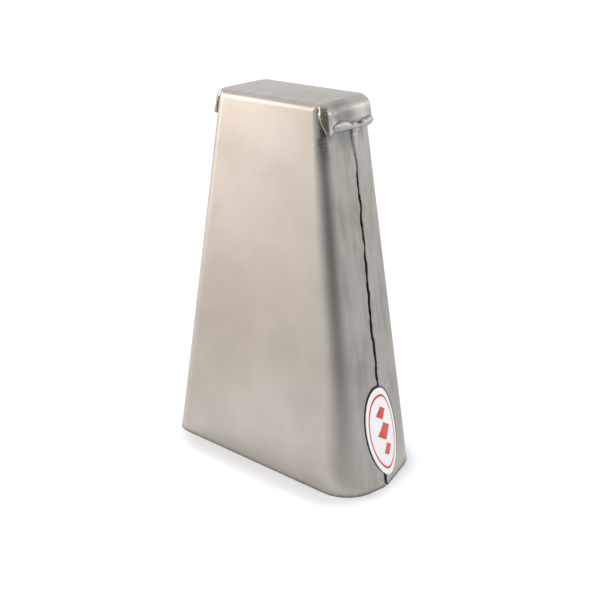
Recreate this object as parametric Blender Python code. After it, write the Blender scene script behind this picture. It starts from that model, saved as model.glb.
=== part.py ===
"""Hand-held bongo cowbell: one folded sheet-steel shell, its weld runs and an oval side label.

Metres, +Z up. The origin is the middle of the mouth, on the plane that the bell stands on. The wide
front face looks along -Y and the labelled narrow side along +X.
"""
import functools
import math
from collections import namedtuple

import bmesh
import bpy
from mathutils import Vector

# Bell body
BELL_HEIGHT = 0.2258
MOUTH_WIDTH = 0.1592           # across the two seams, at the mouth
MOUTH_DEPTH = 0.0744           # front face to rear face, at the mouth
CROWN_WIDTH = 0.0780           # the same two sizes, carried up to the crown
CROWN_DEPTH = 0.0457
MOUTH_CORNER = 0.0234          # outer radius of the wing folds
CROWN_CORNER = 0.0049
MOUTH_RIDGE = 0.0079           # how far a seam stands out past the corners beside it
CROWN_RIDGE = 0.0037
MOUTH_SEAM_Y = -0.0074         # the seams lean, so their place along the depth changes
CROWN_SEAM_Y = 0.0030
SHEET = 0.0016
SEAM_GAP = 0.0004              # between the wings' inner edges; the square-cut edges open outwards
CROWN_BEND = 0.0042            # outer radius of the folds between crown and faces
SLIT_BEND = 0.0026             # the same folds, where they tighten beside a slit

# Ears: the crown's two end tabs, turned down over the narrow sides
RIGHT_EAR_CLEARANCE = 0.0014   # ear to seam ridge; the crown sits a little to the right
LEFT_EAR_CLEARANCE = 0.0004
EAR_TIP_CLEARANCE = 0.0004     # ear's tips to the wing folds behind them
EAR_BEND = 0.0069
EAR_INNER_CORNER = 0.0052      # inner radius of the ear's upright corners
EAR_SETBACK = 0.0038           # ear's inner ends lie behind the planes of the faces
EAR_DROP = 0.0132              # crown to the ear's lower edge
EAR_CORNER_DROP = 0.0160       # the same at its lowest, on the corners
EAR_TIP_DROP = 0.0080          # the same at the slits
EAR_CUT_START = 0.48           # share of the turn round an ear's corner where its lower edge starts to rise

# Welds
WELD_CLEARANCE = 0.0003        # welds are drawn just clear of the sheet
WELD_LEG = 0.0028              # ear weld below the ear's edge, at the seam
WELD_END_LEG = 0.0018          # the same, at the ear's corner
WELD_LAP = 0.0022              # ear weld above the ear's edge, at the seam
WELD_END_LAP = 0.0042          # the same, at the ear's corner
WELD_COVER = 0.0012            # weld over the ear's lower edge
WELD_RIPPLE = 0.0046           # pitch of the ripples
RIPPLE_DEPTH = 0.15            # share of the weld's size
WELD_END_SIZE = 0.35           # the same share, kept at the ends of a run
WELD_SQUARENESS = 8            # how late a run starts to round off
EAR_WELD_TURN = math.radians(12.0)   # turn round the ear's corner where its weld ends
SEAM_WELD_LENGTH = 0.032
SEAM_WELD_WIDTH = 0.0068       # at the top
SEAM_WELD_TAIL = 0.0024        # width at the bottom
SEAM_WELD_FRONT = 0.2          # share of its width that lies to the front of the seam
SEAM_WELD_RISE = 0.0016
SEAM_WELD_EDGE = 0.2           # height of its long edges, as a share of the rise

# Label
LABEL_LENGTH = 0.060
LABEL_WIDTH = 0.0292
LABEL_THICKNESS = 0.0003
LABEL_CLEARANCE = 0.0003
LABEL_HEIGHT = 0.0326          # middle of the label above the mouth
LABEL_SHIFT = 0.0023           # middle of the label to the rear of the seam
LABEL_TURN = math.radians(9.7)       # its top leans to the front

# Mesh steps
FACE_STEPS = 4
ARC_STEPS = 8
SLIT_STEP = 6                  # arc step, counted from the face, where a slit starts
WING_STEPS = 2
WALL_ROWS = 8
BEND_STEPS = 5
EAR_ROWS = 3
EAR_ARC_STEPS = 8
EAR_SIDE_STEPS = 3
WELD_STEPS_PER_RIPPLE = 6
WELD_BULGE_STEPS = 7
SEAM_WELD_ROWS = 28
SEAM_WELD_COLUMNS = 8
LABEL_SEGMENTS = 56
LABEL_ROWS = 6
SMOOTH_ANGLE = math.radians(35.0)
WELD_SMOOTH_ANGLE = math.radians(60.0)
TURN_STEP = math.radians(0.5)
CUT_TOLERANCE = 1e-7

MOUTH_TRIM = 0.004             # sheet below the mouth plane, ground off flat
FRONT, REAR = -1, 1
LEFT, RIGHT = -1, 1

Section = namedtuple("Section", "half_width half_depth corner ridge seam_y")
Station = namedtuple("Station", "x v nx nv")


# Outline of the bell

def section(z):
    """The outer outline's sizes at a height, on straight lines from mouth to crown."""
    share = z / BELL_HEIGHT

    def between(mouth, crown):
        return mouth + (crown - mouth) * share

    return Section(between(MOUTH_WIDTH, CROWN_WIDTH) / 2,
                   between(MOUTH_DEPTH, CROWN_DEPTH) / 2,
                   between(MOUTH_CORNER, CROWN_CORNER),
                   between(MOUTH_RIDGE, CROWN_RIDGE),
                   between(MOUTH_SEAM_Y, CROWN_SEAM_Y))


def quarter(z, face):
    """Stations from the middle of a face, round the corner, to the seam's edge.

    x is measured to the side and v towards the face, so v = face * y.
    """
    sec = section(z)
    seam_v = face * sec.seam_y
    lean = math.atan2(sec.ridge, sec.half_depth - seam_v)
    nx, nv = math.cos(lean), math.sin(lean)
    centre_v = sec.half_depth - sec.corner
    centre_x = sec.half_width - (sec.corner + nv * (centre_v - seam_v)) / nx
    stations = [Station(centre_x * i / FACE_STEPS, sec.half_depth, 0.0, 1.0) for i in range(FACE_STEPS)]
    for i in range(ARC_STEPS + 1):
        turn = math.pi / 2 + (lean - math.pi / 2) * i / ARC_STEPS
        c, s = math.cos(turn), math.sin(turn)
        stations.append(Station(centre_x + sec.corner * c, centre_v + sec.corner * s, c, s))
    start = stations[-1]
    edge = (SEAM_GAP / 2 + SHEET * nv) / nx
    end_x = sec.half_width - nv * edge
    end_v = seam_v + nx * edge
    for i in range(1, WING_STEPS + 1):
        share = i / WING_STEPS
        stations.append(Station(start.x + (end_x - start.x) * share,
                                start.v + (end_v - start.v) * share, nx, nv))
    return stations


def wing_x(y, z):
    """Half width of the narrow side at a depth y, on its flat wings."""
    sec = section(z)
    face = FRONT if y < sec.seam_y else REAR
    reach = sec.half_depth - face * sec.seam_y
    return sec.half_width - sec.ridge * abs(y - sec.seam_y) / reach


def outline_x(v, z, face):
    """Half width of the bell at a distance v towards a face, on its fold or its wing."""
    stations = quarter(z, face)
    for a, b in zip(stations[FACE_STEPS:], stations[FACE_STEPS + 1:]):
        if b.v <= v <= a.v:
            return b.x + (a.x - b.x) * (v - b.v) / (a.v - b.v)
    return 0.0


def bend(wall, normal, radius):
    """Points over a fold from the crown's flat to where it joins the wall, a function of height."""
    run = normal.dot(wall(0.0) - wall(BELL_HEIGHT)) / BELL_HEIGHT
    sweep = math.pi / 2 - math.atan(run)
    setback = radius * math.tan(sweep / 2)
    points = []
    for i in range(BEND_STEPS + 1):
        turn = sweep * i / BEND_STEPS
        z = BELL_HEIGHT - radius + radius * math.cos(turn)
        inset = run * (BELL_HEIGHT - z) + setback - radius * math.sin(turn)
        points.append(wall(z) - normal * inset)
    return points


# Outline of the ears

SIDE_TILT = math.atan((MOUTH_WIDTH - CROWN_WIDTH) / 2 / BELL_HEIGHT)
EAR_EDGE = BELL_HEIGHT - EAR_DROP
EAR_CORNER = EAR_INNER_CORNER + SHEET
WING_TOP = BELL_HEIGHT - max(CROWN_BEND, EAR_BEND) - WELD_CLEARANCE


def ear_half_width(side, z):
    clearance = RIGHT_EAR_CLEARANCE if side == RIGHT else LEFT_EAR_CLEARANCE
    return section(z).half_width + (clearance + SHEET) / math.cos(SIDE_TILT)


def ear_half_depth(z):
    return section(z).half_depth - EAR_SETBACK + SHEET


def ear_turn(v, z, radius=EAR_CORNER):
    """Turn round an ear's corner at a distance v from its middle, 0 on its straight side."""
    past = max(0.0, v - (ear_half_depth(z) - EAR_CORNER))
    return math.asin(past / radius)


def ear_x(side, v, z):
    """Half width of an ear's outer face at a distance v from its middle."""
    return ear_half_width(side, z) - EAR_CORNER * (1 - math.cos(ear_turn(v, z)))


@functools.cache
def ear_tip_turn(side):
    """How far an ear wraps round its corners: until its inner face comes up to a wing's fold."""
    turn = math.pi / 2
    while turn > 0:
        x = ear_half_width(side, BELL_HEIGHT) - EAR_CORNER + EAR_INNER_CORNER * math.cos(turn)
        v = ear_half_depth(BELL_HEIGHT) - EAR_CORNER + EAR_INNER_CORNER * math.sin(turn)
        if x - max(outline_x(v, BELL_HEIGHT, face) for face in (FRONT, REAR)) >= EAR_TIP_CLEARANCE:
            break
        turn -= TURN_STEP
    return turn


def cut_share(side, turn):
    """How far a turn lies along the rising cut of an ear's lower corner, 1 at the tip."""
    return (turn / ear_tip_turn(side) - EAR_CUT_START) / (1 - EAR_CUT_START)


def ear_drop(side, turn):
    """Depth of an ear below the crown: it dips to its corners, which are cut to a quarter ellipse."""
    cut = cut_share(side, turn)
    if cut < 0:
        dip = math.sin(math.pi / 2 * turn / (EAR_CUT_START * ear_tip_turn(side))) ** 2
        return EAR_DROP + (EAR_CORNER_DROP - EAR_DROP) * dip
    return EAR_TIP_DROP + (EAR_CORNER_DROP - EAR_TIP_DROP) * math.sqrt(max(0.0, 1 - cut ** 2))


# Making objects

def clear_scene():
    for obj in list(bpy.data.objects):
        bpy.data.objects.remove(obj, do_unlink=True)


def material(name, colour, roughness, metallic):
    mat = bpy.data.materials.new(name)
    mat.use_nodes = True
    shader = mat.node_tree.nodes["Principled BSDF"]
    shader.inputs["Base Color"].default_value = (*colour, 1.0)
    shader.inputs["Roughness"].default_value = roughness
    shader.inputs["Metallic"].default_value = metallic
    return mat


def add_object(name, bm, mat=None, smooth_angle=SMOOTH_ANGLE):
    """Turn a bmesh into an object, shaded smooth across its rounded stretches."""
    mesh = bpy.data.meshes.new(name)
    bm.to_mesh(mesh)
    bm.free()
    if mat:
        mesh.materials.append(mat)
    mesh.shade_smooth()
    mesh.set_sharp_from_angle(angle=smooth_angle)
    obj = bpy.data.objects.new(name, mesh)
    bpy.context.scene.collection.objects.link(obj)
    return obj


def add_grid(bm, columns, flip):
    """Quads between neighbouring columns of vertices; columns may differ in length from the top."""
    for left, right in zip(columns, columns[1:]):
        for row in range(min(len(left), len(right)) - 1):
            corners = [left[row], right[row], right[row + 1], left[row + 1]]
            bm.faces.new(reversed(corners) if flip else corners)


# The folded shell

def face_columns(bm, face):
    """Columns of one face and its two wings, left to right, from the mouth up.

    The columns between the slits go on over the fold to the crown. Returns all columns and the crown's
    end vertices.
    """
    zs = [-MOUTH_TRIM + (WING_TOP + MOUTH_TRIM) * i / WALL_ROWS for i in range(WALL_ROWS + 1)]
    rows = [quarter(z, face) for z in zs]
    crown = quarter(BELL_HEIGHT, face)
    last = len(crown) - 1
    slit = FACE_STEPS + SLIT_STEP
    columns, ends = [], []
    for k in range(-last, last + 1):
        side = LEFT if k < 0 else RIGHT
        i = abs(k)

        def wall(z):
            station = quarter(z, face)[i]
            return Vector((side * station.x, face * station.v, z))

        points = [Vector((side * row[i].x, face * row[i].v, z)) for row, z in zip(rows, zs)]
        if i <= slit:
            normal = Vector((side * crown[i].nx, face * crown[i].nv, 0.0))
            past = max(0.0, (i - FACE_STEPS) / SLIT_STEP)
            radius = CROWN_BEND + (SLIT_BEND - CROWN_BEND) * past
            points += reversed(bend(wall, normal, radius))
        column = [bm.verts.new(p) for p in points]
        if i <= slit:
            ends.append(column[-1])
        columns.append(column)
    return columns, ends


def ear_columns(bm, side):
    """Columns of one ear, from its front tip to its rear tip, each from the crown down."""
    tip = ear_tip_turn(side)
    corner = [(tip * (1 - i / EAR_ARC_STEPS), 0.0) for i in range(EAR_ARC_STEPS + 1)]
    straight = [(0.0, i / EAR_SIDE_STEPS) for i in range(1, EAR_SIDE_STEPS + 1)]
    half = corner + straight
    stations = [(FRONT, *s) for s in half] + [(REAR, *s) for s in reversed(half[:-1])]
    columns = []
    for face, turn, inward in stations:

        def wall(z):
            middle = ear_half_depth(z) - EAR_CORNER
            x = ear_half_width(side, z) - EAR_CORNER + EAR_CORNER * math.cos(turn)
            v = middle * (1 - inward) + EAR_CORNER * math.sin(turn)
            return Vector((side * x, face * v, z))

        normal = Vector((side * math.cos(turn), face * math.sin(turn), 0.0))
        cut = max(0.0, cut_share(side, turn))
        points = bend(wall, normal, EAR_BEND + (SLIT_BEND - EAR_BEND) * cut)
        top, bottom = points[-1].z, BELL_HEIGHT - ear_drop(side, turn)
        points += [wall(top + (bottom - top) * i / EAR_ROWS) for i in range(1, EAR_ROWS + 1)]
        columns.append([bm.verts.new(p) for p in points])
    return columns


def build_shell(mat):
    bm = bmesh.new()
    front, front_ends = face_columns(bm, FRONT)
    rear, rear_ends = face_columns(bm, REAR)
    ears = {side: ear_columns(bm, side) for side in (LEFT, RIGHT)}
    add_grid(bm, front, flip=False)
    add_grid(bm, rear, flip=True)
    add_grid(bm, ears[RIGHT], flip=True)
    add_grid(bm, ears[LEFT], flip=False)
    right_rim = [column[0] for column in ears[RIGHT]]
    left_rim = [column[0] for column in reversed(ears[LEFT])]
    bm.faces.new(front_ends + right_rim + list(reversed(rear_ends)) + left_rim)
    shell = add_object("shell", bm, mat)
    solid = shell.modifiers.new("sheet", "SOLIDIFY")
    solid.thickness = SHEET
    solid.offset = -1.0
    solid.use_even_offset = True
    solid.use_quality_normals = True

    cutter_bm = bmesh.new()
    bmesh.ops.create_cube(cutter_bm, size=1.0)
    bmesh.ops.scale(cutter_bm, verts=cutter_bm.verts, vec=(2 * MOUTH_WIDTH, 2 * MOUTH_DEPTH, 4 * MOUTH_TRIM))
    bmesh.ops.translate(cutter_bm, verts=cutter_bm.verts, vec=(0.0, 0.0, -2 * MOUTH_TRIM))
    cutter = add_object("mouth_trim", cutter_bm)
    cutter.display_type = "WIRE"
    cutter.hide_render = True
    trim = shell.modifiers.new("mouth_ground_flat", "BOOLEAN")
    trim.operation = "DIFFERENCE"
    trim.solver = "EXACT"
    trim.object = cutter
    return shell


# Welds

def sweep_closed(bm, rings, flip):
    """Skin a row of equal rings and cap both ends."""
    loops = [[bm.verts.new(p) for p in ring] for ring in rings]
    count = len(loops[0])
    for a, b in zip(loops, loops[1:]):
        for i in range(count):
            j = (i + 1) % count
            corners = [a[i], a[j], b[j], b[i]]
            bm.faces.new(reversed(corners) if flip else corners)
    first, last = loops[0], loops[-1]
    bm.faces.new(first if flip else reversed(first))
    bm.faces.new(reversed(last) if flip else last)


def run_size(share, ripples):
    """Size of a weld run along its length: rounded off at both ends, with ripples between."""
    rounding = math.sqrt(max(0.0, 1 - (2 * share - 1) ** WELD_SQUARENESS))
    ripple = 1 - RIPPLE_DEPTH * (1 - abs(math.sin(math.pi * share * ripples)))
    return WELD_END_SIZE + (1 - WELD_END_SIZE) * rounding * ripple


def ear_weld_ring(side, face, v, leg, lap, size):
    """One cross-section of an ear weld: it laps the ear's edge from the wing to the ear's face."""
    y = face * v
    edge_z = BELL_HEIGHT - ear_drop(side, ear_turn(v, EAR_EDGE))
    inner_edge_z = BELL_HEIGHT - ear_drop(side, ear_turn(v, EAR_EDGE, EAR_INNER_CORNER))
    root_z = inner_edge_z - SHEET * math.sin(SIDE_TILT) - WELD_CLEARANCE
    toe_z = edge_z - leg
    lap_z = edge_z + lap
    corner = Vector((ear_x(side, v, edge_z) + WELD_CLEARANCE, root_z))
    root = Vector((wing_x(y, root_z) + WELD_CLEARANCE, root_z))
    toe = Vector((wing_x(y, toe_z) + WELD_CLEARANCE, toe_z))
    top = Vector((ear_x(side, v, lap_z) + WELD_CLEARANCE, lap_z))
    chord = top - toe
    out = Vector((chord.y, -chord.x)).normalized()
    crest = corner + out * WELD_COVER
    pull = 2 * crest - (toe + top) / 2
    points = [corner, root]
    for i in range(WELD_BULGE_STEPS + 1):
        share = i / WELD_BULGE_STEPS
        points.append(toe * (1 - share) ** 2 + pull * 2 * share * (1 - share) + top * share ** 2)
    return [corner + (p - corner) * size for p in points]


def build_ear_weld(name, side, face, mat):
    """A run from the middle of the seam weld to the ear's corner."""
    middle = section(EAR_EDGE).seam_y + SEAM_WELD_WIDTH * (0.5 - SEAM_WELD_FRONT)
    start = face * middle + WELD_CLEARANCE / 2
    end = ear_half_depth(EAR_EDGE) - EAR_CORNER + EAR_CORNER * math.sin(EAR_WELD_TURN)
    ripples = round((end - start) / WELD_RIPPLE)
    steps = ripples * WELD_STEPS_PER_RIPPLE
    rings = []
    for i in range(steps + 1):
        share = i / steps
        v = start + (end - start) * share
        leg = WELD_LEG + (WELD_END_LEG - WELD_LEG) * share
        lap = WELD_LAP + (WELD_END_LAP - WELD_LAP) * share
        ring = ear_weld_ring(side, face, v, leg, lap, run_size(share, ripples))
        rings.append([Vector((side * p.x, face * v, p.y)) for p in ring])
    bm = bmesh.new()
    sweep_closed(bm, rings, flip=side * face > 0)
    return add_object(name, bm, mat, WELD_SMOOTH_ANGLE)


def build_seam_weld(name, side, mat):
    """A tapering run laid over the seam: a low dome on the wings' own surface."""
    top_z = EAR_EDGE - WELD_LEG - WELD_CLEARANCE
    ripples = round(SEAM_WELD_LENGTH / WELD_RIPPLE)
    shares = [j / SEAM_WELD_COLUMNS for j in range(SEAM_WELD_COLUMNS + 1)]
    rings = []
    for i in range(SEAM_WELD_ROWS + 1):
        down = i / SEAM_WELD_ROWS
        z = top_z - SEAM_WELD_LENGTH * down
        size = run_size(down, ripples)
        width = SEAM_WELD_WIDTH + (SEAM_WELD_TAIL - SEAM_WELD_WIDTH) * down
        rise = SEAM_WELD_RISE * width / SEAM_WELD_WIDTH * size
        seam_y = section(z).seam_y
        ys = [seam_y + width * (share - SEAM_WELD_FRONT) for share in shares]
        ridge = min(range(len(ys)), key=lambda j: abs(ys[j] - seam_y))
        ys[ridge] = seam_y
        base = [Vector((side * (wing_x(y, z) + WELD_CLEARANCE), y, z)) for y in ys]
        domes = [SEAM_WELD_EDGE + (1 - SEAM_WELD_EDGE) * 2 * math.sqrt(s * (1 - s)) for s in shares]
        crest = [p + Vector((side * rise * dome, 0.0, 0.0)) for p, dome in zip(base, domes)]
        rings.append(base + crest[::-1])
    bm = bmesh.new()
    sweep_closed(bm, rings, flip=side < 0)
    return add_object(name, bm, mat, WELD_SMOOTH_ANGLE)


# Label

def build_label(mat):
    """An oval sheet, creased over the seam and laid on both wings of the right side."""
    bm = bmesh.new()
    bmesh.ops.create_circle(bm, cap_ends=True, segments=LABEL_SEGMENTS, radius=0.5)
    lean = math.sin(LABEL_TURN), math.cos(LABEL_TURN)
    for vert in bm.verts:
        across, along = vert.co.x * LABEL_WIDTH, vert.co.y * LABEL_LENGTH
        vert.co = (LABEL_SHIFT + across * lean[1] - along * lean[0],
                   LABEL_HEIGHT + across * lean[0] + along * lean[1], 0.0)
    cuts = [((0.0, 0.0, 0.0), (1.0, 0.0, 0.0))]
    for i in range(1, LABEL_ROWS):
        z = LABEL_HEIGHT + LABEL_LENGTH * (i / LABEL_ROWS - 0.5)
        cuts.append(((0.0, z, 0.0), (0.0, 1.0, 0.0)))
    for point, normal in cuts:
        geometry = bm.verts[:] + bm.edges[:] + bm.faces[:]
        bmesh.ops.bisect_plane(bm, geom=geometry, dist=CUT_TOLERANCE, plane_co=point, plane_no=normal)
    for vert in bm.verts:
        across, z = vert.co.x, vert.co.y
        y = section(z).seam_y + across
        vert.co = (wing_x(y, z) + LABEL_CLEARANCE / math.cos(SIDE_TILT), y, z)
    bmesh.ops.recalc_face_normals(bm, faces=bm.faces[:])
    if sum((face.normal.x for face in bm.faces), 0.0) < 0:
        bmesh.ops.reverse_faces(bm, faces=bm.faces[:])
    label = add_object("side_label", bm, mat)
    film = label.modifiers.new("film", "SOLIDIFY")
    film.thickness = LABEL_THICKNESS
    film.offset = 1.0
    film.use_even_offset = True
    return label


def main():
    clear_scene()
    steel = material("satin_sheet_steel", (0.62, 0.59, 0.55), 0.36, 1.0)
    weld = material("weld_steel", (0.52, 0.50, 0.48), 0.42, 1.0)
    vinyl = material("white_vinyl", (0.90, 0.90, 0.89), 0.35, 0.0)
    build_shell(steel)
    for side, side_name in ((RIGHT, "right"), (LEFT, "left")):
        for face, face_name in ((FRONT, "front"), (REAR, "rear")):
            build_ear_weld(f"ear_weld_{side_name}_{face_name}", side, face, weld)
        build_seam_weld(f"seam_weld_{side_name}", side, weld)
    build_label(vinyl)


main()
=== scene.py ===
import math
from functools import partial

import bmesh
import bpy
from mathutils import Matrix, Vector, noise


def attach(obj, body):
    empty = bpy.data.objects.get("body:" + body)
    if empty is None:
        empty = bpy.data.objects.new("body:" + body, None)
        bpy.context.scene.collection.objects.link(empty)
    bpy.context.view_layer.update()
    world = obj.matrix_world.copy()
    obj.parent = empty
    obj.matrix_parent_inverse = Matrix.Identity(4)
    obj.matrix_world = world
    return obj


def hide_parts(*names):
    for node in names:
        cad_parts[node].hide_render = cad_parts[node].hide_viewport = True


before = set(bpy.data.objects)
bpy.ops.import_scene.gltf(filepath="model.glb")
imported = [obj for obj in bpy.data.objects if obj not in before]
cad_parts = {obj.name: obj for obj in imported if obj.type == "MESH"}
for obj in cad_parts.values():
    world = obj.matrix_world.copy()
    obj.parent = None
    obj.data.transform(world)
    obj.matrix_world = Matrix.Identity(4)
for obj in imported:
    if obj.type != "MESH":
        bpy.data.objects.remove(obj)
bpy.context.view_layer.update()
scene = bpy.context.scene
print("frame loaded,", len(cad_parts), "nodes")

front, rear = -1, 1
left, right = -1, 1
perMetre = 1000    # patterns are given in mm


# small helpers

def linear(hexColour):
    values = [int(hexColour[i:i + 2], 16) / 255 for i in (1, 3, 5)]
    return [v / 12.92 if v <= 0.04045 else ((v + 0.055) / 1.055) ** 2.4 for v in values] + [1.0]


def between(a, b, share):
    return a + (b - a) * share


def smoothStep(low, high, value):
    share = min(1.0, max(0.0, (value - low) / (high - low)))
    return share * share * (3 - 2 * share)


def hump(low, full, fading, gone, value):
    return smoothStep(low, full, value) * (1 - smoothStep(fading, gone, value))


def pick(sizes, name, side, face):
    # the near (right) and the far (left) front corner have some sizes of their own
    own = {(right, front): "near", (left, front): "far"}.get((side, face), "")
    return sizes.get(own + name[0].upper() + name[1:], sizes[name])


def addNode(tree, kind, *inputs, **named):
    # settings and inputs by keyword, then inputs in order, or in a dictionary by name or number;
    # nodes and sockets are linked, a node standing for its first output, and other values are set
    node = tree.nodes.new(kind if "Node" in kind else "ShaderNode" + kind)
    others = inputs[0] if inputs and isinstance(inputs[0], dict) else dict(enumerate(inputs))
    for name, value in {**named, **others}.items():
        if isinstance(value, bpy.types.Node):
            value = value.outputs[0]
        if isinstance(value, bpy.types.NodeSocket):
            tree.links.new(value, node.inputs[name])
        elif isinstance(name, int) or name in node.inputs:
            node.inputs[name].default_value = value
        else:
            setattr(node, name, value)
    return node


def newTree(name, inputs):
    tree = bpy.data.node_groups.new(name, "GeometryNodeTree")
    for socket, kind in inputs.items():
        tree.interface.new_socket(socket, in_out="INPUT", socket_type="NodeSocket" + kind)
    tree.interface.new_socket("Geometry", in_out="OUTPUT", socket_type="NodeSocketGeometry")
    add = partial(addNode, tree)
    return tree, add, add("NodeGroupInput").outputs


def endTree(add, geometry, material):
    real = add("GeometryNodeRealizeInstances", geometry)
    done = add("GeometryNodeSetMaterial", Geometry=real, Material=material)
    add("NodeGroupOutput", done)


def plainMesh(name, mesh, *modifiers):
    # runs modifiers on a mesh and hands back the plain result
    obj = bpy.data.objects.new(name, mesh)
    scene.collection.objects.link(obj)
    for kind, settings in modifiers:
        mod = obj.modifiers.new(kind, kind)
        if kind == "NODES":
            mod.node_group = settings["tree"]
            for item in mod.node_group.interface.items_tree:
                if item.in_out == "INPUT" and item.name in settings:
                    mod[item.identifier] = settings[item.name]
        else:
            for key, value in settings.items():
                setattr(mod, key, value)
    made = bpy.data.meshes.new_from_object(obj.evaluated_get(bpy.context.evaluated_depsgraph_get()))
    obj.modifiers.clear()
    bpy.data.objects.remove(obj)
    return made


def meshFromBm(bm, name):
    mesh = bpy.data.meshes.new(name)
    bm.to_mesh(mesh)
    bm.free()
    return mesh


def addPiece(name, mesh, slotName, *nodes):
    mesh.name = name
    obj = bpy.data.objects.new(name, mesh)
    scene.collection.objects.link(obj)
    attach(obj, "root")
    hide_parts(*nodes)
    print("piece", name, len(mesh.polygons), "faces")


# materials

rangeEnds = ("From Min", "From Max", "To Min", "To Max")
still = (0.0, 0.0, 0.0)


def newMaterial(name, metallic, patterns):
    # patterns by name: size in mm along x, y and z, detail, roughness and shift in metres
    mat = bpy.data.materials.new(name)
    mat.use_nodes = True
    mat.node_tree.nodes["Principled BSDF"].inputs["Metallic"].default_value = metallic
    add = partial(addNode, mat.node_tree)
    coords = add("TexCoord").outputs["Object"]
    noises = {}
    for pattern, (sizes, detail, rough, shift) in patterns.items():
        scale = [perMetre / size for size in sizes]
        place = add("Mapping", Scale=scale, Location=[a * b for a, b in zip(shift, scale)], Vector=coords)
        noises[pattern] = add("TexNoise", Scale=1.0, Detail=detail, Roughness=rough, Vector=place)
    return mat, add, noises


def endMaterial(mat, colour, rough, bump):
    shader = mat.node_tree.nodes["Principled BSDF"]
    sources = {"Base Color": colour.outputs[2], "Roughness": rough.outputs[0], "Normal": bump.outputs[0]}
    for name, source in sources.items():
        mat.node_tree.links.new(source, shader.inputs[name])
    return mat


# cold-rolled sheet steel, linished to a satin: a soft wide gloss with a fine upright grain,
# blued where the welds heated it and scaly where the ears were torn round their corners
steelLook = {
    # besides wear, smudge paints shade on the right ear's bend, burnished paints its highlights, and soot and
    # scale paint shade by the welds, under the ear and at the mouth's edge
    "colour": "#bcb6af", "tone": "#aea8a0", "smudgeAndShade": "#86857f", "straw": "#a99c92", "bruise": "#868c93",
    "highlightTint": "#e9e4df", "scale": "#6b6858", "sootAndShade": "#3d3a33",
    "patterns": {
        # drawn coarser than real linishing, which is about 0.1 mm and wouldn't show
        "grain": ((0.55, 0.55, 26.0), 3.0, 0.6, still),
        "mottle": ([55.0] * 3, 4.0, 0.55, (0.1, 0.9, 0.6)),
        "pits": ([1.4] * 3, 5.0, 0.65, still),
        "streak": ((4.5, 4.5, 160.0), 2.0, 0.5, still),
        "wave": ([70.0] * 3, 1.0, 0.35, still),
        "rub": ((5.0, 26.0, 5.0), 2.0, 0.5, still),    # along the bends of crown and ears
    },
    # from what to what, and the share or the roughness that it gives
    "levels": {
        "tone": (0.36, 0.66, 0.0, 1.0), "onSide": (0.80, 0.98, 0.0, 0.55), "marks": (0.95, 1.30, 0.0, 1.0),
        "onTop": (0.2105, 0.2140, 0.0, 1.0), "offFace": (0.30, 0.60, 1.0, 0.0),
        "rubMarks": (0.40, 0.66, 0.0, 0.30), "smear": (0.35, 0.65, 0.45, 1.0), "patch": (0.32, 0.62, 0.55, 1.0),
        "straw": (0.05, 0.45, 0.0, 0.55), "bruise": (0.22, 0.70, 0.0, 0.85), "patchy": (0.38, 0.60, 0.35, 1.0),
        "rough": (0.30, 0.70, 0.33, 0.39),
    },
    "crust": (1.6, -0.55), "crustReach": 0.72, "crustRough": 0.28,
    "bumps": {"wave": (1.0, 0.7), "grain": (0.10, 0.012), "scale": (0.5, 0.5)},    # strength, height in mm
}


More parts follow.
